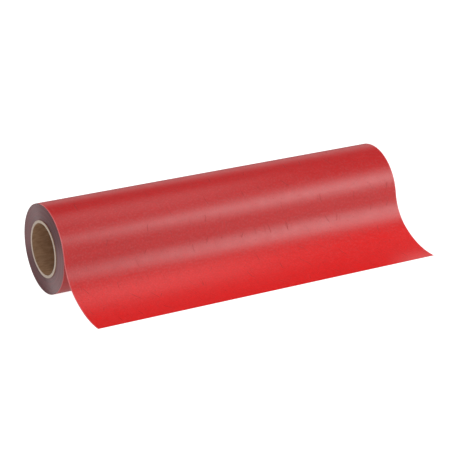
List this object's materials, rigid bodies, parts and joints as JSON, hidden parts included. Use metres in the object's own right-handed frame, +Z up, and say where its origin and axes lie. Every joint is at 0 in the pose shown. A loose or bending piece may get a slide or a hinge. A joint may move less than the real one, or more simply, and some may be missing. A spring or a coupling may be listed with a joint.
{
  "type": "roll of sign vinyl",
  "caption": "Long roll of red self-adhesive sign film on a white liner, wound on a plain paper core, with a loose curved tail lying out in front.",
  "frame": {"origin": "centre of the core's bore, halfway along the roll", "axes": "X along the roll and its bore, -Y toward the loose tail, +Z up; the roll and the tail's edge rest on the plane z = -0.0665"},
  "size_m": [0.566, 0.2345, 0.133],
  "materials": {
    "core_paper": "matte",
    "tape": "satin",
    "wound_web": "satin",
    "liner": "satin",
    "film": "satin"
  },
  "bodies": {
    "roll": {"core_ply_1": "core_paper", "core_ply_2": "core_paper", "core_ply_3": "core_paper", "core_ply_4": "core_paper", "core_ply_5": "core_paper", "core_ply_6": "core_paper", "core_ply_7": "core_paper", "core_ply_8": "core_paper", "start_tape": "tape", "wound_pack": "wound_web", "last_wrap_liner": "liner", "last_wrap_film": "film"},
    "tail_root": {"tail_root_liner": "liner", "tail_root_film": "film"},
    "tail_bend": {"tail_bend_liner": "liner", "tail_bend_film": "film"},
    "tail_lip": {"tail_lip_liner": "liner", "tail_lip_film": "film"},
    "lip_film": {"peel_film": "film"}
  },
  "joints": [
    {"name": "tail_lift", "type": "hinge", "parent": "roll", "child": "tail_root", "pos_m": [0, -0.06197, 0.02441], "axis": [-1, 0, 0], "range_deg": [0, 30]},
    {"name": "tail_flex", "type": "hinge", "parent": "tail_root", "child": "tail_bend", "pos_m": [0, -0.06696, 0.00511], "axis": [-1, 0, 0], "range_deg": [0, 40]},
    {"name": "lip_curl", "type": "hinge", "parent": "tail_bend", "child": "tail_lip", "pos_m": [0, -0.0948, -0.04216], "axis": [-1, 0, 0], "range_deg": [0, 45]},
    {"name": "film_peel", "type": "hinge", "parent": "tail_lip", "child": "lip_film", "pos_m": [0, -0.11557, -0.05413], "axis": [-1, 0, 0], "range_deg": [0, 40]}
  ]
}
